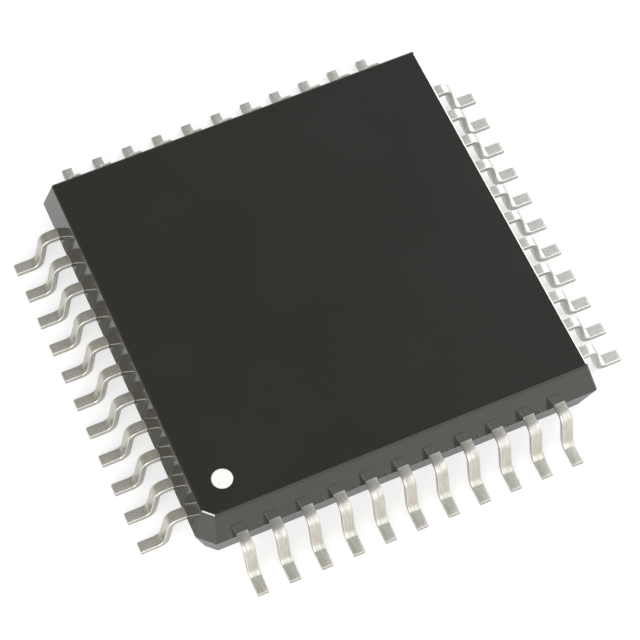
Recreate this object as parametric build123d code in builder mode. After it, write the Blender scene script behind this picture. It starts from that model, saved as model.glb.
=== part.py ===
from build123d import *
import math
import os

# A square plastic quad flat package with 44 gull-wing leads, in millimetres.
# Origin: the centre of the package on the plane that the lead feet stand on.
# +Z is up. Pin 1 is at the -X, -Y corner. Seen from above the pins run
# anticlockwise: 1 to 11 on the -Y side, 12 to 22 on the +X side,
# 23 to 33 on the +Y side and 34 to 44 on the -X side.

# ---- driving dimensions ----
# moulded body
body_width = 10.00  # across the parting line, both ways
body_top = 2.00
body_bottom = 0.05  # clearance under the body
parting_z = 1.00
draft_inset_top = 0.224  # how far the walls lean in from the parting line to the bevels
draft_inset_bottom = 0.240  # and to the underside
pin1_corner_leg = 0.365  # leg of the chamfer at the pin 1 corner, at the parting line
corner_radius = 0.060  # of the other three upright corners
top_bevel_inset = 0.035  # two small bevels break the edge round the top face: this
top_bevel_drop = 0.020  # one beside the top face
edge_bevel_inset = 0.011  # and a steeper one below it, beside the walls
edge_bevel_drop = 0.020

# leads
pins_per_side = 11
pitch = 0.80
lead_width = 0.28
lead_thickness = 0.15
lead_plane = 0.95  # underside of the lead frame inside the body
tip_span = 12.35  # over the ends of the feet
bend_start = 5.21  # where the shoulder starts to bend down
shoulder_radius = 0.195  # on the middle of the metal
leg_angle = 12.0  # of the leg from the vertical, in degrees
heel_radius_upper = 0.2275  # of the hollow, upper face of the heel
heel_radius_lower = 0.33  # of its round underside
heel_crease_angle = 20.0  # the upper face meets the flat of the foot at this angle

# inner fingers of the leads
anchor_width = 0.36  # the wider part just inside the body, which holds the lead
anchor_outer = 4.84
anchor_inner = 4.50
finger_tip_out = 2.80  # the fingers end this far from the centre line
finger_tip_pitch = 0.45
finger_tip_width = 0.20

# die pad with its four tie bars
pad_width = 5.00
pad_thickness = 0.15
pad_downset = 0.20  # the pad lies this far below the fingers
tie_bar_width = 0.24
tie_bar_bend_inner = 3.72  # the sloped part of the tie bar, along the diagonal
tie_bar_bend_outer = 4.02
tie_bar_gap = 0.06  # compound left over the cut end of the tie bar

# die and its adhesive
attach_width = 3.60
attach_thickness = 0.025
die_width = 3.50
die_thickness = 0.35

# bond wires
wire_diameter = 0.030
ball_diameter = 0.075
ball_height = 0.020
die_bond_row = 1.62  # the row of balls, from the centre line
die_bond_pitch = 0.28
finger_bond_row = 2.98  # where the wires land on the fingers
loop_height = 0.17  # of the wire over the die
loop_flat = 0.25  # share of the span that the wire runs level
neck_radius = 0.05
loop_radius = 0.20

# pin 1 mark: white ink that fills a shallow round dimple
mark_diameter = 0.50
mark_depth = 0.03
mark_x = -4.03
mark_y = -3.98

# ---- derived dimensions ----
half = body_width / 2
lead_top = lead_plane + lead_thickness
lead_mid = lead_plane + lead_thickness / 2
pad_z = lead_plane - pad_downset
attach_z = pad_z + pad_thickness
die_z = attach_z + attach_thickness
die_top = die_z + die_thickness
tip_out = tip_span / 2

os.makedirs("parts", exist_ok=True)

# For each side: the direction out of the body, the direction of rising pin
# number along it, and the first pin.
sides = [
    (Vector(0, -1, 0), Vector(1, 0, 0), 1),
    (Vector(1, 0, 0), Vector(0, 1, 0), 12),
    (Vector(0, 1, 0), Vector(-1, 0, 0), 23),
    (Vector(-1, 0, 0), Vector(0, -1, 0), 34),
]
up = Vector(0, 0, 1)


def outline(inset, radius):
    """Draws the body's outline at a level where it is inset by this much from the
    parting line. The chamfer at pin 1 has the same draft as the walls."""
    h = half - inset
    p = pin1_corner_leg - inset * (2 - math.sqrt(2))
    q = radius * (1 - math.sqrt(0.5))  # of the middle of a corner arc
    Line((-h + p, -h), (h - radius, -h))
    ThreePointArc((h - radius, -h), (h - q, -h + q), (h, -h + radius))
    Line((h, -h + radius), (h, h - radius))
    ThreePointArc((h, h - radius), (h - q, h - q), (h - radius, h))
    Line((h - radius, h), (-h + radius, h))
    ThreePointArc((-h + radius, h), (-h + q, h - q), (-h, h - radius))
    Line((-h, h - radius), (-h, -h + p))
    Line((-h, -h + p), (-h + p, -h))


# ---- the profile of a lead outside the body, as (out, z) points ----
def turned(centre, radius, angle):
    """The point of an arc where the lead runs down at this angle. A negative radius
    is for an arc whose centre is above the metal."""
    return (centre[0] + radius * math.sin(angle), centre[1] + radius * math.cos(angle))


def arc_points(centre, radius, start, end):
    """Start, middle and end of an arc."""
    return [turned(centre, radius, a) for a in (start, (start + end) / 2, end)]


turn = math.radians(90.0 - leg_angle)
crease = math.radians(heel_crease_angle)
leg_dx, leg_dz = math.cos(turn), math.sin(turn)  # along the leg, outwards and down

shoulder_centre = (bend_start, lead_mid - shoulder_radius)
shoulder_outer = arc_points(shoulder_centre, shoulder_radius + lead_thickness / 2, 0, turn)
shoulder_inner = arc_points(shoulder_centre, shoulder_radius - lead_thickness / 2, turn, 0)


def leg_end(start, foot_z, radius, last_angle):
    """Where the straight leg that begins at start gives way to a heel arc of this
    radius, which reaches the level foot_z when it has turned to last_angle."""
    fall = radius * (math.cos(last_angle) - math.cos(turn))
    length = (start[1] - foot_z - fall) / leg_dz
    return (start[0] + length * leg_dx, start[1] - length * leg_dz)


def heel_arc(start, radius, last_angle):
    centre = (start[0] + radius * math.sin(turn), start[1] + radius * math.cos(turn))
    return arc_points(centre, -radius, turn, last_angle)


heel_upper = heel_arc(leg_end(shoulder_outer[2], lead_thickness, heel_radius_upper, crease), heel_radius_upper, crease)
heel_lower = heel_arc(leg_end(shoulder_inner[0], 0.0, heel_radius_lower, 0.0), heel_radius_lower, 0.0)
heel_lower.reverse()  # this one is drawn from the foot up

lead_parts = []
finger_spots = []  # where each wire lands: side number, place along the side

for side, (out, along, first_pin) in enumerate(sides):
    for i in range(pins_per_side):
        k = i - (pins_per_side - 1) / 2
        place = k * pitch
        tip_place = k * finger_tip_pitch
        slant = math.atan2(place - tip_place, anchor_inner - finger_tip_out)
        h_tip = finger_tip_width / 2 / math.cos(slant)
        h_anchor = anchor_width / 2
        number = first_pin + i

        with BuildPart() as lead:
            # the formed part: shoulder, bend, leg, heel and foot
            side_plane = Plane(origin=along * place, x_dir=out, z_dir=out.cross(up))
            with BuildSketch(side_plane):
                with BuildLine():
                    Line((anchor_inner, lead_top), shoulder_outer[0])
                    ThreePointArc(*shoulder_outer)
                    Line(shoulder_outer[2], heel_upper[0])
                    ThreePointArc(*heel_upper)
                    Line(heel_upper[2], (tip_out, lead_thickness))
                    Line((tip_out, lead_thickness), (tip_out, 0))
                    Line((tip_out, 0), heel_lower[0])
                    ThreePointArc(*heel_lower)
                    Line(heel_lower[2], shoulder_inner[0])
                    ThreePointArc(*shoulder_inner)
                    Line(shoulder_inner[2], (anchor_inner, lead_plane))
                    Line((anchor_inner, lead_plane), (anchor_inner, lead_top))
                make_face()
            extrude(amount=lead_width / 2, both=True)
            # the flat finger inside the body
            frame_plane = Plane(origin=(0, 0, lead_plane), x_dir=out, z_dir=up)
            with BuildSketch(frame_plane):
                with BuildLine():
                    Polyline(
                        (anchor_outer, place - h_anchor),
                        (anchor_inner, place - h_anchor),
                        (finger_tip_out, tip_place - h_tip),
                        (finger_tip_out, tip_place + h_tip),
                        (anchor_inner, place + h_anchor),
                        (anchor_outer, place + h_anchor),
                        close=True,
                    )
                make_face()
            extrude(amount=lead_thickness)
        lead.part.label = f"lead_{number:02d}"
        export_step(lead.part, f"parts/lead_{number:02d}.step")
        lead_parts.append(lead.part)
        # the wire lands on the middle line of the finger
        share = (finger_bond_row - finger_tip_out) / (anchor_inner - finger_tip_out)
        finger_spots.append((side, k, tip_place + share * (place - tip_place)))

# ---- die pad with four tie bars, one stamped and down-set piece ----
with BuildPart() as die_pad:
    with BuildSketch(Plane.XY.offset(pad_z)):
        Rectangle(pad_width, pad_width)
    extrude(amount=pad_thickness)
    for sx, sy in ((1, -1), (1, 1), (-1, 1), (-1, -1)):
        # the bar ends just inside the chamfer, or with its corners just inside the walls
        if (sx, sy) == (-1, -1):
            reach = (body_width - pin1_corner_leg) / math.sqrt(2) - tie_bar_gap
        else:
            reach = (half - tie_bar_gap) * math.sqrt(2) - tie_bar_width / 2
        diagonal = Vector(sx, sy, 0).normalized()
        with BuildSketch(Plane(origin=(0, 0, 0), x_dir=diagonal, z_dir=diagonal.cross(up))):
            with BuildLine():
                Polyline(
                    (3.20, pad_z),
                    (tie_bar_bend_inner, pad_z),
                    (tie_bar_bend_outer, lead_plane),
                    (reach, lead_plane),
                    (reach, lead_top),
                    (tie_bar_bend_outer - 0.05, lead_top),
                    (tie_bar_bend_inner - 0.05, pad_z + pad_thickness),
                    (3.20, pad_z + pad_thickness),
                    close=True,
                )
            make_face()
        extrude(amount=tie_bar_width / 2, both=True)
die_pad.part.label = "die_pad"
export_step(die_pad.part, "parts/die_pad.step")

# ---- adhesive layer under the die ----
with BuildPart() as die_attach:
    with BuildSketch(Plane.XY.offset(attach_z)):
        RectangleRounded(attach_width, attach_width, 0.15)
    extrude(amount=attach_thickness)
die_attach.part.label = "die_attach"
export_step(die_attach.part, "parts/die_attach.step")

# ---- silicon die ----
with BuildPart() as silicon_die:
    with BuildSketch(Plane.XY.offset(die_z)):
        Rectangle(die_width, die_width)
    extrude(amount=die_thickness)
silicon_die.part.label = "silicon_die"
export_step(silicon_die.part, "parts/silicon_die.step")

# ---- bond wires, one node for the eleven of each side ----
wire_groups = []
wire_start = die_top + ball_height
wire_top = die_top + loop_height
for side, (out, along, first_pin) in enumerate(sides):
    last_pin = first_pin + pins_per_side - 1
    with BuildPart() as bond_wires:
        for spot_side, k, landing in finger_spots:
            if spot_side != side:
                continue
            start = out * die_bond_row + along * (k * die_bond_pitch)
            end = out * finger_bond_row + along * landing
            span = (end - start).length
            ahead = (end - start).normalized()
            wire_plane = Plane(origin=start, x_dir=ahead, z_dir=ahead.cross(up))
            # the ball squashed on the die
            with BuildSketch(Plane(origin=start + up * die_top, x_dir=(1, 0, 0), z_dir=(0, 0, 1))):
                Circle(ball_diameter / 2)
            extrude(amount=ball_height)
            # up from the ball, level over the edge of the die, then down to
            # the finger; it runs a little past the finger's face and is cut there
            level = span * loop_flat
            slope = (wire_top - lead_top) / (span - level)
            past = 0.04
            with BuildLine(wire_plane) as path:
                FilletPolyline(
                    (0, wire_start - 0.005),
                    (0, wire_top),
                    (level, wire_top),
                    (span + past, lead_top - slope * past),
                    radius=[neck_radius, loop_radius],
                )
            with BuildSketch(Plane(origin=start + up * (wire_start - 0.005), x_dir=ahead, z_dir=(0, 0, 1))):
                Circle(wire_diameter / 2)
            sweep(path=path.line)
        split(bisect_by=Plane.XY.offset(lead_top), keep=Keep.TOP)
    name = f"bond_wires_{first_pin:02d}_{last_pin:02d}"
    bond_wires.part.label = name
    export_step(bond_wires.part, f"parts/{name}.step")
    wire_groups.append(bond_wires.part)

# ---- pin 1 mark ----
with BuildPart() as pin_1_mark:
    with BuildSketch(Plane.XY.offset(body_top - mark_depth)):
        with Locations((mark_x, mark_y)):
            Circle(mark_diameter / 2)
    extrude(amount=mark_depth)
pin_1_mark.part.label = "pin_1_mark"
export_step(pin_1_mark.part, "parts/pin_1_mark.step")

# ---- moulded body: the compound fills the mould round everything above ----
body_levels = [
    (body_bottom, draft_inset_bottom, corner_radius),
    (parting_z, 0.0, corner_radius),
    (body_top - top_bevel_drop - edge_bevel_drop, draft_inset_top, corner_radius),
    (body_top - top_bevel_drop, draft_inset_top + edge_bevel_inset, corner_radius - edge_bevel_inset / 2),
    (body_top, draft_inset_top + edge_bevel_inset + top_bevel_inset, corner_radius - (edge_bevel_inset + top_bevel_inset) / 2),
]
with BuildPart() as moulded_body:
    for lower, upper in zip(body_levels, body_levels[1:]):
        for z, inset, radius in (lower, upper):
            with BuildSketch(Plane.XY.offset(z)):
                with BuildLine():
                    outline(inset, radius)
                make_face()
        loft(ruled=True)
    add(
        [*lead_parts, die_pad.part, die_attach.part, silicon_die.part, *wire_groups, pin_1_mark.part],
        mode=Mode.SUBTRACT,
    )
moulded_body.part.label = "moulded_body"
export_step(moulded_body.part, "parts/moulded_body.step")
print("flat of the foot", [round(v, 4) for v in (heel_upper[2][0], heel_lower[0][0], tip_out)])
print("moulded body volume", round(moulded_body.part.volume, 4), "solids", len(moulded_body.part.solids()))
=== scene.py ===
"""Looks of a moulded quad flat package with 44 gull-wing leads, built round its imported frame."""
import math
import random

import bpy
from mathutils import Matrix, Vector


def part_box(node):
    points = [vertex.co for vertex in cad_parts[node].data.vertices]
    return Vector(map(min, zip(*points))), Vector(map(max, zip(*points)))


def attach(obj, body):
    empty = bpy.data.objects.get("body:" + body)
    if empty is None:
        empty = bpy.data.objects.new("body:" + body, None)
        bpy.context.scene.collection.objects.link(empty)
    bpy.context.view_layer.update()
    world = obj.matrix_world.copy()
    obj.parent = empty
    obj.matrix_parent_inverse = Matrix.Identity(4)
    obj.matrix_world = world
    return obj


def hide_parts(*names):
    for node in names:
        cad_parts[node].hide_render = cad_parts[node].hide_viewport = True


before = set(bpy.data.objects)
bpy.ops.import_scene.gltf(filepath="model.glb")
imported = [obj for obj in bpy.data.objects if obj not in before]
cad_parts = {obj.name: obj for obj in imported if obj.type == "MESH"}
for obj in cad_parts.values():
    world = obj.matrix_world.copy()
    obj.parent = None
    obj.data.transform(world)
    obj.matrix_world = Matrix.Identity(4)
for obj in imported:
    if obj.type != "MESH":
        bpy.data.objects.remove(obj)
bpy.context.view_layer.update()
MM = 0.001

# ---------------------------------------------------------------------------
# sizes, in millimetres, as in the solid model
# ---------------------------------------------------------------------------
PITCH = 0.80
PER_SIDE = 11
LEAD_W = 0.28
LEAD_T = 0.15
LEAD_Z = 0.95  # underside of the lead frame in the body
TIP_OUT = 6.175
BEND_START = 5.21
R_SHOULDER = 0.195  # on the middle of the metal
R_HEEL_UP = 0.2275  # upper face of the heel, which ends in a crease
R_HEEL_LOW = 0.33  # and its underside
CREASE = math.radians(20.0)
LEG_TURN = math.radians(78.0)
ANCHOR_W = 0.36
ANCHOR_OUT, ANCHOR_IN = 4.84, 4.50
FINGER_OUT = 2.80
FINGER_PITCH = 0.45
FINGER_W = 0.20
WALL_OUT = 4.995  # the body's wall at the height of the leads
PARTING = 1.0  # height of the line where the two halves of the mould met
EDGE_R = 0.024  # rounding of the long edges outside the body
RAW_R = 0.002  # and inside it
END_R = 0.016  # rounding of the cut end of the foot

SIDES = [
    (Vector((0, -1, 0)), Vector((1, 0, 0)), 1),
    (Vector((1, 0, 0)), Vector((0, 1, 0)), 12),
    (Vector((0, 1, 0)), Vector((-1, 0, 0)), 23),
    (Vector((-1, 0, 0)), Vector((0, -1, 0)), 34),
]


# ---------------------------------------------------------------------------
# small helpers for node materials
# ---------------------------------------------------------------------------
class Nodes:
    """A short way to write a node tree."""

    def __init__(self, name):
        self.mat = bpy.data.materials.new(name)
        self.mat.use_nodes = True
        self.tree = self.mat.node_tree
        self.tree.nodes.clear()
        self.out = self.add("ShaderNodeOutputMaterial")
        self.bsdf = self.add("ShaderNodeBsdfPrincipled")
        self.link(self.bsdf, "BSDF", self.out, "Surface")

    def add(self, kind, **props):
        node = self.tree.nodes.new(kind)
        for key, value in props.items():
            setattr(node, key, value)
        return node

    def link(self, a, out, b, into):
        self.tree.links.new(a.outputs[out], b.inputs[into])

    def noise(self, vector, scale, detail=3.0, rough=0.55, distortion=0.0):
        n = self.add("ShaderNodeTexNoise")
        n.inputs["Scale"].default_value = scale
        n.inputs["Detail"].default_value = detail
        n.inputs["Roughness"].default_value = rough
        n.inputs["Distortion"].default_value = distortion
        self.tree.links.new(vector, n.inputs["Vector"])
        return n.outputs["Fac"]

    def stretch(self, vector, scale, offset=(0, 0, 0)):
        m = self.add("ShaderNodeMapping")
        m.inputs["Scale"].default_value = scale
        m.inputs["Location"].default_value = offset
        self.tree.links.new(vector, m.inputs["Vector"])
        return m.outputs["Vector"]

    def ramp(self, fac, stops, interpolation="LINEAR"):
        r = self.add("ShaderNodeValToRGB")
        r.color_ramp.interpolation = interpolation
        while len(r.color_ramp.elements) < len(stops):
            r.color_ramp.elements.new(0.5)
        for e, (pos, value) in zip(r.color_ramp.elements, stops):
            e.position = pos
            e.color = (*value, 1.0) if isinstance(value, tuple) else (value, value, value, 1.0)
        self.tree.links.new(fac, r.inputs["Fac"])
        return r.outputs["Color"]

    def to_range(self, fac, low, high, from_low=0.0, from_high=1.0):
        m = self.add("ShaderNodeMapRange")
        m.inputs["From Min"].default_value = from_low
        m.inputs["From Max"].default_value = from_high
        m.inputs["To Min"].default_value = low
        m.inputs["To Max"].default_value = high
        self.tree.links.new(fac, m.inputs["Value"])
        return m.outputs["Result"]

    def math(self, kind, a, b):
        m = self.add("ShaderNodeMath", operation=kind)
        for i, x in enumerate((a, b)):
            if isinstance(x, (int, float)):
                m.inputs[i].default_value = x
            else:
                self.tree.links.new(x, m.inputs[i])
        return m.outputs[0]

    def mix(self, fac, a, b):
        """Colour a where fac is 0 and b where it is 1."""
        m = self.add("ShaderNodeMix", data_type="RGBA")
        for i, x in ((0, fac), (6, a), (7, b)):
            if hasattr(x, "node"):
                self.tree.links.new(x, m.inputs[i])
            else:
                m.inputs[i].default_value = x
        return m.outputs[2]

    def bump(self, height, distance, strength=1.0, normal=None):
        b = self.add("ShaderNodeBump")
        b.inputs["Strength"].default_value = strength
        b.inputs["Distance"].default_value = distance
        self.tree.links.new(height, b.inputs["Height"])
        if normal is not None:
            self.tree.links.new(normal, b.inputs["Normal"])
        return b.outputs["Normal"]

    def set(self, **values):
        for key, value in values.items():
            socket = self.bsdf.inputs[key.replace("_", " ")]
            if hasattr(value, "node"):
                self.tree.links.new(value, socket)
            else:
                socket.default_value = value
        return self.mat


def object_coords(n):
    return n.add("ShaderNodeTexCoord").outputs["Object"]


# ---------------------------------------------------------------------------
# materials
# ---------------------------------------------------------------------------
def mould_compound():
    """Dark filled epoxy out of a polished mould: a smooth skin with a very faint
    filler grain and a slow drift in gloss."""
    n = Nodes("mould_compound")
    c = object_coords(n)
    filler = n.noise(c, 26000, 2.0, 0.6)  # about 0.04 mm
    cloud = n.noise(c, 420, 3.0, 0.5)  # a few millimetres
    tint = n.ramp(cloud, [(0.30, (0.0143, 0.0142, 0.0129)), (0.70, (0.0163, 0.0162, 0.0149))])
    # the half of the mould below the parting line is left duller
    split = n.add("ShaderNodeSeparateXYZ")
    n.tree.links.new(c, split.inputs["Vector"])
    below = n.to_range(split.outputs["Z"], 1.0, 0.0, PARTING * MM - 0.000004, PARTING * MM + 0.000004)
    rough = n.to_range(cloud, 0.045, 0.075, 0.3, 0.7)
    rough = n.math("ADD", rough, n.to_range(filler, -0.006, 0.012, 0.3, 0.7))
    rough = n.math("ADD", rough, n.math("MULTIPLY", below, 0.30))
    n.set(Base_Color=tint, Roughness=rough, Normal=n.bump(filler, 0.0000006, 0.5), IOR=1.52,
          Specular_Tint=(1.0, 0.985, 0.89, 1.0))
    return n.mat


# tones of the cut sides: duller metal, and also set darker as painted shade for the shadowed floor that these sides
# mirror
CUT_AND_SHADE_TONES = [(0.31, 0.30, 0.275), (0.41, 0.40, 0.37), (0.51, 0.50, 0.465)]


def tinned(name="tinned_lead"):
    """Matt tin plating on a formed lead: an even grain on the flats, and fine lines
    drawn along the lead where the forming tool stretched it. The map 'flow' holds
    (across, along) in millimetres, and the colour layer 'worked' how much the metal
    was bent there, how strongly it was drawn, where it is a cut side, which is duller
    metal and is also painted darker as painted shade, and where it is a rounded edge,
    which is painted lighter as a painted highlight."""
    n = Nodes(name)
    flow = n.add("ShaderNodeUVMap", uv_map="flow").outputs["UV"]
    layer = n.add("ShaderNodeVertexColor", layer_name="worked")
    parts = n.add("ShaderNodeSeparateColor")
    n.tree.links.new(layer.outputs["Color"], parts.inputs["Color"])
    worked, drawn, cut = parts.outputs["Red"], parts.outputs["Green"], parts.outputs["Blue"]
    grain = n.noise(n.stretch(flow, (30, 22, 1)), 1.0, 3.0, 0.65)
    blotch = n.noise(n.stretch(flow, (5, 3, 1)), 1.0, 2.0, 0.5)
    lines = n.noise(n.stretch(flow, (30, 2.6, 1)), 1.0, 3.0, 0.62)
    # the lines matter most where the metal is drawn, the grain on the flats
    streak = n.math("MULTIPLY", n.math("SUBTRACT", lines, 0.5), n.to_range(drawn, 0.35, 1.0))
    grainy = n.math("MULTIPLY", n.math("SUBTRACT", grain, 0.5), n.to_range(worked, 1.0, 0.15))
    cloudy = n.math("MULTIPLY", n.math("SUBTRACT", blotch, 0.5), n.to_range(worked, 0.30, 0.12))
    shade = n.math("ADD", n.math("ADD", n.math("MULTIPLY", streak, 1.9), grainy), cloudy)
    tone = n.to_range(shade, 0.0, 1.0, -0.30, 0.30)
    matt = n.ramp(tone, [(0.0, (0.54, 0.535, 0.48)), (0.5, (0.71, 0.70, 0.635)), (1.0, (0.88, 0.87, 0.80))])
    bright = n.ramp(tone, [(0.0, (0.42, 0.41, 0.36)), (0.5, (0.55, 0.535, 0.478)), (1.0, (0.68, 0.665, 0.61))])
    # the cut sides get the darker tones: partly duller metal, partly painted shade
    sheared_and_shaded = n.ramp(tone, [(0.0, CUT_AND_SHADE_TONES[0]), (0.5, CUT_AND_SHADE_TONES[1]), (1.0, CUT_AND_SHADE_TONES[2])])
    colour = n.mix(cut, n.mix(worked, matt, bright), sheared_and_shaded)
    # painted highlight: the rounded edges are painted lighter, as a glint on them would look
    painted_edge_highlight = n.to_range(layer.outputs["Alpha"], 0.0, 0.42)
    colour = n.mix(painted_edge_highlight, colour, (0.93, 0.905, 0.84, 1.0))
    rough = n.math("ADD", n.to_range(grain, 0.33, 0.42, 0.3, 0.7), n.math("MULTIPLY", streak, -0.30))
    rough = n.math("ADD", rough, n.to_range(worked, 0.0, 0.035))
    height = n.math("ADD", n.math("MULTIPLY", grainy, 0.7), streak)
    n.set(Base_Color=colour, Metallic=1.0, Roughness=rough, Normal=n.bump(height, 0.000004, 0.5))
    return n.mat


def white_ink():
    n = Nodes("white_ink")
    c = object_coords(n)
    mottle = n.noise(c, 9000, 4.0, 0.6)
    fine = n.noise(c, 42000, 2.0, 0.5)
    tint = n.ramp(mottle, [(0.32, (0.73, 0.73, 0.71)), (0.62, (0.815, 0.815, 0.795))])
    n.set(Base_Color=tint, Roughness=n.to_range(fine, 0.45, 0.62, 0.3, 0.7), Normal=n.bump(fine, 0.0000015, 0.6))
    return n.mat


def bare_copper():
    n = Nodes("bare_copper")
    c = object_coords(n)
    rolled = n.noise(n.stretch(c, (60000, 2200, 9000)), 1.0, 3.0, 0.6)
    patch = n.noise(c, 900, 3.0, 0.5)
    tint = n.ramp(patch, [(0.3, (0.64, 0.33, 0.21)), (0.7, (0.76, 0.43, 0.28))])
    n.set(Base_Color=tint, Metallic=1.0, Roughness=n.to_range(rolled, 0.22, 0.38, 0.3, 0.7), Normal=n.bump(rolled, 0.000001, 0.6))
    return n.mat


def die_adhesive():
    n = Nodes("die_adhesive")
    c = object_coords(n)
    flake = n.noise(c, 30000, 3.0, 0.7)
    tint = n.ramp(flake, [(0.35, (0.34, 0.34, 0.33)), (0.65, (0.62, 0.62, 0.60))])
    n.set(Base_Color=tint, Metallic=0.6, Roughness=n.to_range(flake, 0.35, 0.60, 0.3, 0.7), Normal=n.bump(flake, 0.000002, 0.7))
    return n.mat


def silicon():
    """A polished die: blocks of plain circuitry as a fine grid of tones."""
    n = Nodes("silicon")
    c = object_coords(n)
    brick = n.add("ShaderNodeTexBrick", offset=0.37, squash=1.3)
    brick.inputs["Scale"].default_value = 1100
    brick.inputs["Mortar Size"].default_value = 0.012
    brick.inputs["Color1"].default_value = (0.10, 0.11, 0.17, 1)
    brick.inputs["Color2"].default_value = (0.20, 0.17, 0.22, 1)
    brick.inputs["Mortar"].default_value = (0.32, 0.30, 0.22, 1)
    n.tree.links.new(c, brick.inputs["Vector"])
    fine = n.noise(n.stretch(c, (26000, 60000, 1000)), 1.0, 2.0, 0.5)
    n.set(Base_Color=brick.outputs["Color"], Metallic=0.7, Roughness=n.to_range(fine, 0.10, 0.22, 0.3, 0.7))
    return n.mat


def gold_wire():
    n = Nodes("gold_wire")
    c = object_coords(n)
    fine = n.noise(c, 20000, 2.0, 0.5)
    tint = n.ramp(fine, [(0.3, (0.82, 0.58, 0.22)), (0.7, (0.93, 0.70, 0.31))])
    n.set(Base_Color=tint, Metallic=1.0, Roughness=n.to_range(fine, 0.12, 0.22, 0.3, 0.7))
    return n.mat


# ---------------------------------------------------------------------------
# leads
# ---------------------------------------------------------------------------
def on_arc(centre, radius, angle):
    return (centre[0] + radius * math.sin(angle), centre[1] + radius * math.cos(angle))


def between(p, q, f):
    return (p[0] + f * (q[0] - p[0]), p[1] + f * (q[1] - p[1]))


def lead_profile():
    """The formed part of a lead as pairs of (out, z) points, one on the upper face and
    one on the lower, from the start of the shoulder bend to the end of the foot, each
    with how much the metal was worked there, how strongly the tool drew lines in it,
    and whether the upper face has a crease."""
    top_z, low_z = LEAD_Z + LEAD_T, LEAD_Z
    centre = (BEND_START, LEAD_Z + LEAD_T / 2 - R_SHOULDER)
    r_up, r_low = R_SHOULDER + LEAD_T / 2, R_SHOULDER - LEAD_T / 2
    rows = []
    n = 16
    for i in range(0, n + 1):
        a = LEG_TURN * i / n
        f = i / n
        worked = min(1.0, f / 0.35)
        drawn = min(1.0, f / 0.25) * (1.0 - 0.75 * max(0.0, (f - 0.45) / 0.55))
        rows.append((on_arc(centre, r_up, a), on_arc(centre, r_low, a), worked, drawn, False))
    # the leg runs on from the bend until the two heel arcs take over
    run = (math.cos(LEG_TURN), -math.sin(LEG_TURN))
    p_up, p_low = rows[-1][0], rows[-1][1]
    turned = (math.sin(LEG_TURN) - math.sin(CREASE), math.cos(CREASE) - math.cos(LEG_TURN))
    # the upper heel arc ends in a crease against the flat of the foot
    leg_up = (p_up[1] - LEAD_T - R_HEEL_UP * turned[1]) / -run[1]
    leg_low = (p_low[1] - R_HEEL_LOW * (1 - math.cos(LEG_TURN))) / -run[1]
    q_up = (p_up[0] + leg_up * run[0], p_up[1] + leg_up * run[1])
    q_low = (p_low[0] + leg_low * run[0], p_low[1] + leg_low * run[1])
    for i in range(1, 8):
        f = i / 8
        rows.append((between(p_up, q_up, f), between(p_low, q_low, f), 1.0, 0.25, False))
    c_up = (q_up[0] + R_HEEL_UP * math.sin(LEG_TURN), q_up[1] + R_HEEL_UP * math.cos(LEG_TURN))
    c_low = (q_low[0] + R_HEEL_LOW * math.sin(LEG_TURN), q_low[1] + R_HEEL_LOW * math.cos(LEG_TURN))
    for i in range(0, n + 1):
        f = i / n
        a_up = LEG_TURN + (CREASE - LEG_TURN) * f
        a_low = LEG_TURN * (1 - f)
        drawn = 0.25 + 0.75 * min(1.0, f / 0.6)
        rows.append((on_arc(c_up, -R_HEEL_UP, a_up), on_arc(c_low, -R_HEEL_LOW, a_low), 1.0, drawn, i == n))
    e_up, e_low = rows[-1][0], rows[-1][1]
    rows.append((between(e_up, (TIP_OUT, LEAD_T), 0.02), between(e_low, (TIP_OUT, 0.0), 0.02), 0.15, 0.1, False))
    last = TIP_OUT - END_R
    for i in range(1, 7):
        f = i / 6
        rows.append((between(e_up, (last, LEAD_T), f), between(e_low, (last, 0.0), f), 0.0, 0.0, False))
    return rows


def lead_stations(k):
    """Sections along one lead, from the finger tip to the end of the foot: points
    (out, z) on the upper and the lower face, place along the side, half width, corner
    radius, inset of the section, worked, drawn, crease."""
    place, tip_place = k * PITCH, k * FINGER_PITCH
    slant = math.atan2(place - tip_place, ANCHOR_IN - FINGER_OUT)
    top, low = LEAD_Z + LEAD_T, LEAD_Z
    st = []

    def flat(out, at, half, r, worked=0.0):
        st.append(((out, top), (out, low), at, half, r, 0.0, worked, 0.0, False))

    for i in range(7):
        f = i / 6
        half = (1 - f) * FINGER_W / 2 / math.cos(slant) + f * ANCHOR_W / 2
        flat(FINGER_OUT + f * (ANCHOR_IN - FINGER_OUT), tip_place + f * (place - tip_place), half, RAW_R)
    flat(ANCHOR_OUT, place, ANCHOR_W / 2, RAW_R)
    hw = LEAD_W / 2
    flat(ANCHOR_OUT, place, hw, RAW_R)
    flat(WALL_OUT - 0.03, place, hw, RAW_R)
    for out, r in ((WALL_OUT, RAW_R), (WALL_OUT + 0.010, 0.55 * EDGE_R), (WALL_OUT + 0.025, EDGE_R)):
        flat(out, place, hw, r)
    for f in (0.0, 0.35, 0.7):
        flat(WALL_OUT + 0.06 + f * (BEND_START - WALL_OUT - 0.06), place, hw, EDGE_R)
    for up, down, worked, drawn, crease in lead_profile():
        st.append((up, down, place, hw, EDGE_R, 0.0, worked, drawn, crease))
    last = TIP_OUT - END_R
    for i in range(1, 5):
        a = math.pi / 2 * i / 4
        inset = END_R * (1 - math.cos(a))
        out = last + END_R * math.sin(a)
        st.append(((out, LEAD_T - inset), (out, inset), place, hw - inset, EDGE_R - inset, inset, 0.1, 0.0, False))
    return st


CORNER_STEPS = 6


def section(half_w, half_t, radius):
    """Points round a rounded rectangle, as (across, up, how far it is a side, how far
    it is on a rounded edge)."""
    r = max(min(radius, half_w * 0.95, half_t * 0.95), 0.0008)
    pts = []
    for cx, cz, a0 in ((half_w - r, half_t - r, 0), (-half_w + r, half_t - r, 90), (-half_w + r, -half_t + r, 180), (half_w - r, -half_t + r, 270)):
        for i in range(CORNER_STEPS + 1):
            a = math.radians(a0 + 90 * i / CORNER_STEPS)
            pts.append((cx + r * math.cos(a), cz + r * math.sin(a), max(0.0, 2 * abs(math.cos(a)) - 1), abs(math.sin(2 * a))))
    return pts


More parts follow.
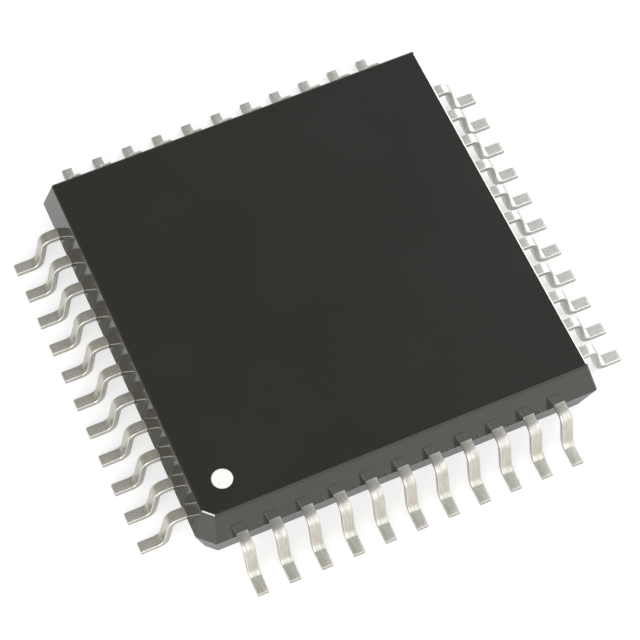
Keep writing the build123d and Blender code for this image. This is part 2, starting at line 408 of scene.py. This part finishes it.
def build_lead(number, side, k, material):
    out, along, _ = SIDES[side]
    up = Vector((0, 0, 1))
    rng = random.Random(1000 + number)
    shift = (rng.uniform(0, 40), rng.uniform(0, 40))
    verts, ring_len, worked = [], [], []
    run = 0.0
    previous = None
    loops, creases = [], []
    for (p_up, p_low, place, hw, r, inset, work, drawn, crease) in lead_stations(k):
        mid = between(p_up, p_low, 0.5)
        thick = math.dist(p_up, p_low)
        normal = ((p_up[0] - p_low[0]) / thick, (p_up[1] - p_low[1]) / thick)
        if previous is not None:
            run += math.dist(p_up, previous)
        previous = p_up
        ring = []
        base = len(verts)
        for (s, t, flank, edge) in section(hw, thick / 2, r):
            verts.append((out * (mid[0] + normal[0] * t) + along * (place + s) + up * (mid[1] + normal[1] * t)) * MM)
            ring.append((s, t))
            # the third value marks the cut sides, which the tin paints darker partly as painted shade; the fourth
            # marks the rounded edges, which it paints lighter as a painted highlight
            worked.append((work, drawn, max(flank, min(1.0, inset / END_R)), edge if r >= EDGE_R else 0.0))
        loops.append(base)
        if crease:
            creases.append(base)
        ring_len.append((run, ring))
    count = 4 * (CORNER_STEPS + 1)
    faces, uvs = [], []

    def round_place(ring):
        """Distance round the section up to each of its points, and all the way."""
        total = [0.0]
        for j in range(count):
            total.append(total[-1] + math.dist(ring[j], ring[(j + 1) % count]))
        return total

    rounds = [round_place(ring) for _, ring in ring_len]
    # the faces turn outwards whichever way round the side's axes run
    flip = out.cross(up).dot(along) < 0
    for j in range(len(loops) - 1):
        a0, b0 = loops[j], loops[j + 1]
        for i in range(count):
            i2 = (i + 1) % count
            quad = [a0 + i, b0 + i, b0 + i2, a0 + i2]
            uv = [
                (rounds[j][i], ring_len[j][0]), (rounds[j + 1][i], ring_len[j + 1][0]),
                (rounds[j + 1][i + 1], ring_len[j + 1][0]), (rounds[j][i + 1], ring_len[j][0]),
            ]
            if flip:
                quad, uv = quad[::-1], uv[::-1]
            faces.append(quad)
            uvs.append(uv)
    # the two ends, each as strips of quads from one side of the section to the other
    for end in (0, -1):
        base = loops[end]
        half = count // 2
        at, ring = ring_len[end]
        # points 0..half-1 run over the top from right to left, the rest back underneath
        top = list(range(0, half))
        bottom = list(range(count - 1, half - 1, -1))
        for a, b in zip(range(half - 1), range(1, half)):
            quad = [base + top[a], base + top[b], base + bottom[b], base + bottom[a]]
            uv = [(ring[q - base][0], at + ring[q - base][1]) for q in quad]
            if (end == 0) == flip:
                quad, uv = quad[::-1], uv[::-1]
            faces.append(quad)
            uvs.append(uv)
    mesh = bpy.data.meshes.new(f"gull_wing_{number:02d}")
    mesh.from_pydata([tuple(v) for v in verts], [], faces)
    layer = mesh.uv_layers.new(name="flow")
    flat = [c for face in uvs for uv in face for c in (uv[0] + shift[0], uv[1] + shift[1])]
    layer.data.foreach_set("uv", flat)
    colours = mesh.color_attributes.new(name="worked", type="FLOAT_COLOR", domain="POINT")
    colours.data.foreach_set("color", [c for w in worked for c in w])
    mesh.materials.append(material)
    mesh.polygons.foreach_set("use_smooth", [True] * len(mesh.polygons))
    mesh.update()
    mesh.set_sharp_from_angle(angle=math.radians(38))
    # the crease is sharp over the upper face and its rounded edges
    sharp = set()
    for base in creases:
        for i in range(0, 2 * CORNER_STEPS + 1):
            sharp.add(frozenset((base + i, base + i + 1)))
    layer = mesh.attributes.get("sharp_edge") or mesh.attributes.new("sharp_edge", "BOOLEAN", "EDGE")
    values = [False] * len(mesh.edges)
    layer.data.foreach_get("value", values)
    values = [v or frozenset(e.vertices) in sharp for v, e in zip(values, mesh.edges)]
    layer.data.foreach_set("value", values)
    mesh.validate()
    obj = bpy.data.objects.new(f"gull_wing_{number:02d}", mesh)
    bpy.context.scene.collection.objects.link(obj)
    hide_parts(f"lead_{number:02d}")
    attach(obj, "root")
    return obj


# ---------------------------------------------------------------------------
# pin 1 mark
# ---------------------------------------------------------------------------
def build_mark(material):
    """Ink in its shallow dimple. The surface sinks a little towards the rim."""
    lo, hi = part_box("pin_1_mark")
    centre = (lo + hi) / 2
    radius = (hi.x - lo.x) / 2
    rng = random.Random(7)
    rings, around = 14, 96
    depth = (hi.z - lo.z)
    phases = [(rng.uniform(0, 6.3), rng.randint(2, 5), rng.uniform(0.4, 1.0)) for _ in range(5)]

    def top(f, a):
        lump = sum(w * math.sin(m * a + p) * f * (1 - f) for p, m, w in phases)
        rim = max(0.0, (f - 0.86) / 0.14)
        return hi.z - 0.0000018 - 0.0000010 * lump - 0.000007 * rim ** 2

    verts = [(centre.x, centre.y, top(0, 0))]
    for j in range(1, rings + 1):
        f = (j / rings) ** 0.8
        for i in range(around):
            a = 2 * math.pi * i / around
            verts.append((centre.x + radius * f * math.cos(a), centre.y + radius * f * math.sin(a), top(f, a)))
    low = len(verts)
    for i in range(around):
        a = 2 * math.pi * i / around
        verts.append((centre.x + radius * math.cos(a), centre.y + radius * math.sin(a), lo.z))
    verts.append((centre.x, centre.y, lo.z))
    faces = [(0, 1 + i, 1 + (i + 1) % around) for i in range(around)]
    for j in range(rings - 1):
        p, q = 1 + j * around, 1 + (j + 1) * around
        faces += [(p + i, q + i, q + (i + 1) % around, p + (i + 1) % around) for i in range(around)]
    p = 1 + (rings - 1) * around
    faces += [(p + i, low + i, low + (i + 1) % around, p + (i + 1) % around) for i in range(around)]
    faces += [(len(verts) - 1, low + (i + 1) % around, low + i) for i in range(around)]
    mesh = bpy.data.meshes.new("ink_spot")
    mesh.from_pydata(verts, [], faces)
    mesh.materials.append(material)
    mesh.polygons.foreach_set("use_smooth", [True] * len(mesh.polygons))
    mesh.update()
    mesh.set_sharp_from_angle(angle=math.radians(40))
    mesh.validate()
    obj = bpy.data.objects.new("ink_spot", mesh)
    bpy.context.scene.collection.objects.link(obj)
    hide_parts("pin_1_mark")
    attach(obj, "root")
    return obj


# ---------------------------------------------------------------------------
# put the object together
# ---------------------------------------------------------------------------
compound = mould_compound()
tin = tinned()
ink = white_ink()
cad_looks = {
    "moulded_body": compound,
    "die_pad": bare_copper(),
    "die_attach": die_adhesive(),
    "silicon_die": silicon(),
}
gold = gold_wire()
for name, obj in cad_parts.items():
    material = gold if name.startswith("bond_wires") else cad_looks.get(name)
    if material is None:
        continue
    obj.data.materials.clear()
    obj.data.materials.append(material)
    obj.data.polygons.foreach_set("use_smooth", [True] * len(obj.data.polygons))
    obj.data.set_sharp_from_angle(angle=math.radians(25))
    if name == "moulded_body":
        # its large flat faces keep their own normals beside the small rounded corners
        even = obj.modifiers.new("even_shading", "WEIGHTED_NORMAL")
        even.keep_sharp = True
        even.weight = 100

for side, (_, _, first) in enumerate(SIDES):
    for i in range(PER_SIDE):
        build_lead(first + i, side, i - (PER_SIDE - 1) / 2, tin)
build_mark(ink)

# ---------------------------------------------------------------------------
# floor, light and camera
# ---------------------------------------------------------------------------
FLOOR_TONE = 0.40
FLOOR_GLOW = 0.666
POOL = ((-6.8, -6.1), 3.8, 0.29)  # a soft pool of light by the pin 1 corner: place, reach, strength
# The studio is a dark tent with soft bright areas. Each has a direction from the
# object, a radiance in its middle and a tint; they all fade out with the same width.
SOFTNESS = 14.0
SOFT_AREAS = [
    ((0.193, -0.450, 0.870), 0.74, (1.0, 1.0, 1.03)),
    ((0.193, -0.750, 0.630), 0.90, (1.0, 1.0, 1.01)),
    ((0.193, -0.930, 0.310), 1.64, (1.0, 1.0, 1.0)),
    ((0.720, 0.433, 0.540), 2.12, (0.98, 1.0, 1.12)),
    ((0.880, 0.433, 0.200), 1.60, (0.98, 1.0, 1.06)),
    ((-0.200, 0.433, 0.880), 0.42, (1.05, 1.0, 0.87)),
    ((-0.730, 0.433, 0.530), 0.46, (1.05, 1.0, 0.86)),
    ((-0.880, 0.433, 0.190), 0.28, (0.99, 1.0, 0.98)),
    ((0.550, 0.800, 0.250), 0.76, (0.98, 1.0, 1.09)),
    ((-0.620, -0.550, 0.550), 3.70, (1.0, 1.0, 0.97)),
    ((-0.700, -0.680, 0.200), 4.31, (1.0, 1.0, 0.98)),
    ((0.600, -0.200, 0.780), 2.41, (1.0, 1.0, 0.99)),
    ((0.750, -0.620, 0.150), 0.58, (0.99, 1.0, 0.94)),
    ((0.950, -0.020, 0.400), 0.30, (1.0, 1.0, 1.03)),
    ((0.980, 0.050, 0.120), 0.24, (0.94, 1.0, 1.12)),
]
# small hard lamps that the bevel round the top face mirrors as a white line: place in
# millimetres, direction of its long side, long and short side in millimetres, radiance
STRIPS = [
    ("lamp_left", (-94.0, -51.9, 126.1), (0.707, -0.707, 0.0), 12.0, 8.0, 18.0),
    ("lamp_right", (144.8, 70.2, 33.8), (-0.307, 0.949, -0.070), 42.0, 6.0, 17.0),
]


def floor():
    size = 1.2
    mesh = bpy.data.meshes.new("floor")
    low = -0.000002  # a hair under the soles of the feet
    mesh.from_pydata([(-size, -size, low), (size, -size, low), (size, size, low), (-size, size, low)], [], [(0, 1, 2, 3)])
    n = Nodes("pale_floor")
    place, reach, strength = POOL
    away = n.add("ShaderNodeVectorMath", operation="DISTANCE")
    n.tree.links.new(object_coords(n), away.inputs[0])
    away.inputs[1].default_value = (place[0] * MM, place[1] * MM, low)
    pool = n.add("ShaderNodeMapRange", interpolation_type="SMOOTHSTEP")
    for name, value in (("From Min", 0.0), ("From Max", reach * MM), ("To Min", FLOOR_GLOW + strength), ("To Max", FLOOR_GLOW)):
        pool.inputs[name].default_value = value
    n.tree.links.new(away.outputs["Value"], pool.inputs["Value"])
    n.set(Base_Color=(FLOOR_TONE, FLOOR_TONE, FLOOR_TONE, 1), Roughness=0.9, Specular_IOR_Level=0.1,
          Emission_Color=(1.0, 1.0, 1.0, 1), Emission_Strength=pool.outputs["Result"])
    mesh.materials.append(n.mat)
    obj = bpy.data.objects.new("floor", mesh)
    bpy.context.scene.collection.objects.link(obj)
    return obj


def strip(name, place, along, length, width, radiance):
    data = bpy.data.lights.new(name, "AREA")
    data.shape = "RECTANGLE"
    data.size = length * MM
    data.size_y = width * MM
    # a flat lamp of radiance L and area A gives out pi * A * L watts
    data.energy = radiance * math.pi * length * width * MM * MM
    obj = bpy.data.objects.new(name, data)
    back = Vector(place).normalized()
    x = Vector(along)
    x = (x - back * x.dot(back)).normalized()
    y = back.cross(x)
    obj.matrix_world = Matrix.Translation(Vector(place) * MM) @ Matrix((x, y, back)).transposed().to_4x4()
    obj.visible_camera = False
    bpy.context.scene.collection.objects.link(obj)
    return obj


def studio():
    world = bpy.data.worlds.new("studio")
    bpy.context.scene.world = world
    world.use_nodes = True
    tree = world.node_tree
    background = tree.nodes["Background"]
    direction = tree.nodes.new("ShaderNodeTexCoord").outputs["Generated"]
    total = None
    for axis, radiance, tint in SOFT_AREAS:
        dot = tree.nodes.new("ShaderNodeVectorMath")
        dot.operation = "DOT_PRODUCT"
        dot.inputs[1].default_value = Vector(axis).normalized()
        tree.links.new(direction, dot.inputs[0])
        power = tree.nodes.new("ShaderNodeMath")
        power.operation = "MULTIPLY_ADD"
        power.inputs[1].default_value = SOFTNESS
        power.inputs[2].default_value = -SOFTNESS
        tree.links.new(dot.outputs["Value"], power.inputs[0])
        fade = tree.nodes.new("ShaderNodeMath")
        fade.operation = "EXPONENT"
        tree.links.new(power.outputs[0], fade.inputs[0])
        area = tree.nodes.new("ShaderNodeVectorMath")
        area.operation = "SCALE"
        area.inputs[0].default_value = [radiance * c for c in tint]
        tree.links.new(fade.outputs[0], area.inputs["Scale"])
        if total is None:
            total = area.outputs[0]
        else:
            both = tree.nodes.new("ShaderNodeVectorMath")
            both.operation = "ADD"
            tree.links.new(total, both.inputs[0])
            tree.links.new(area.outputs[0], both.inputs[1])
            total = both.outputs[0]
    tree.links.new(total, background.inputs["Color"])
    background.inputs["Strength"].default_value = 1.0


floor()
studio()
for lamp in STRIPS:
    strip(*lamp)

cam_data = bpy.data.cameras.new("camera")
cam_data.sensor_width = 36.0
cam_data.lens = 140.99
cam_data.clip_start = 0.005
cam_data.clip_end = 10.0
cam = bpy.data.objects.new("camera", cam_data)
bpy.context.scene.collection.objects.link(cam)
forward = Vector((0.19283455, 0.43282546, -0.88061169)).normalized()
right = Vector((0.913903773, -0.405930443, 0.00060774657))
right = (right - forward * right.dot(forward)).normalized()
true_up = right.cross(forward)
rot = Matrix((right, true_up, -forward)).transposed()
cam.matrix_world = Matrix.Translation(Vector((-11.59412674, -26.3392654, 53.18856592)) * MM) @ rot.to_4x4()
bpy.context.scene.camera = cam

bpy.context.scene.view_settings.view_transform = "Standard"
bpy.context.scene.view_settings.look = "None"
bpy.context.scene.view_settings.exposure = 0.0
bpy.context.scene.view_settings.gamma = 1.0
